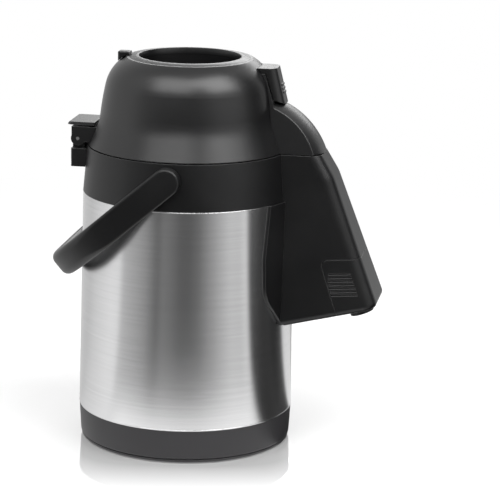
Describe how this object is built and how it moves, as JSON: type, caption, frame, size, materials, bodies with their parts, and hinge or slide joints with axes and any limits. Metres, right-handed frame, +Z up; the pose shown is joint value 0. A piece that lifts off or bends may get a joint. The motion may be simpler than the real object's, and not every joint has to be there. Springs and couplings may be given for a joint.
{
  "type": "thermal airpot",
  "caption": "Insulated coffee airpot with push-button air pump, hinged lid, front spout with pull-off tip cover, swing bail handle and swivel base.",
  "frame": {"origin": "centre of the resting face under the swivel foot", "axes": "+Z up along the body, +X towards the spout, +Y to the left of the spout"},
  "size_m": [0.2503, 0.1846, 0.3018],
  "materials": {
    "dome_plastic": "satin black moulded plastic",
    "body_plastic": "satin black moulded plastic",
    "base_plastic": "dark grey moulded plastic",
    "brushed_shell": "stainless steel brushed around the body",
    "liner_steel": "drawn stainless steel",
    "hardware_steel": "bright steel",
    "seal_rubber": "white silicone",
    "foot_rubber": "black rubber",
    "clear_plastic": "natural polypropylene"
  },
  "bodies": {
    "vessel": {"base_ring": "base_plastic", "liner_cushion": "foot_rubber", "outer_shell": "brushed_shell", "inner_liner": "liner_steel", "neck_seal": "seal_rubber", "collar": "body_plastic", "dip_tube": "clear_plastic", "tube_elbow": "clear_plastic", "delivery_tube": "clear_plastic", "nozzle": "body_plastic", "saddle": "body_plastic", "spout_housing": "body_plastic", "hinge_block": "body_plastic", "hinge_pin": "hardware_steel"},
    "foot": {"swivel_foot": "base_plastic", "foot_pads": "foot_rubber", "foot_washer": "hardware_steel", "foot_screw": "hardware_steel"},
    "lid": {"dome": "dome_plastic", "lid_plate": "clear_plastic", "plate_screws": "hardware_steel", "lid_gasket": "seal_rubber", "air_valve": "seal_rubber", "bellows": "clear_plastic", "return_spring": "hardware_steel", "front_cap": "dome_plastic", "hinge_yoke": "body_plastic", "release_pin": "hardware_steel"},
    "push_button": {"button": "body_plastic"},
    "safety_lock": {"button_lock": "body_plastic"},
    "front_latch": {"lock_slider": "dome_plastic"},
    "hinge_release": {"release_lever": "dome_plastic"},
    "bail": {"bail_handle": "body_plastic", "bail_washers": "hardware_steel", "bail_screws": "hardware_steel"},
    "spout_tip": {"tip_cover": "body_plastic"}
  },
  "joints": [
    {"name": "foot_swivel", "type": "hinge", "parent": "vessel", "child": "foot", "pos_m": [0, 0, 0], "axis": [0, 0, 1], "continuous": true},
    {"name": "bail_swing", "type": "hinge", "parent": "vessel", "child": "bail", "pos_m": [0, 0, 0.2195], "axis": [0, 1, 0], "range_deg": [0, 205]},
    {"name": "lid_hinge", "type": "hinge", "parent": "vessel", "child": "lid", "pos_m": [-0.0841, 0, 0.2346], "axis": [0, -1, 0], "range_deg": [0, 95]},
    {"name": "button_press", "type": "slide", "parent": "lid", "child": "push_button", "axis": [0, 0, 1], "range_m": [0, 0.038], "stiffness_N_per_m": 150, "springref_m": 0.045, "deforming": ["bellows", "return_spring"]},
    {"name": "safety_lock_turn", "type": "hinge", "parent": "lid", "child": "safety_lock", "pos_m": [0, 0, 0.3], "axis": [0, 0, 1], "range_deg": [0, 12]},
    {"name": "front_latch_slide", "type": "slide", "parent": "lid", "child": "front_latch", "axis": [-0.3003, 0, 0.9538], "range_m": [0, 0.005], "stiffness_N_per_m": 200, "springref_m": -0.002},
    {"name": "hinge_release_press", "type": "hinge", "parent": "lid", "child": "hinge_release", "pos_m": [-0.0769, 0, 0.2429], "axis": [0, -1, 0], "range_deg": [0, 4], "stiffness_Nm_per_rad": 0.1, "springref_deg": -5.73},
    {"name": "tip_cover_slide", "type": "slide", "parent": "vessel", "child": "spout_tip", "axis": [0.3256, 0, -0.9455], "range_m": [0, 0.03]}
  ]
}
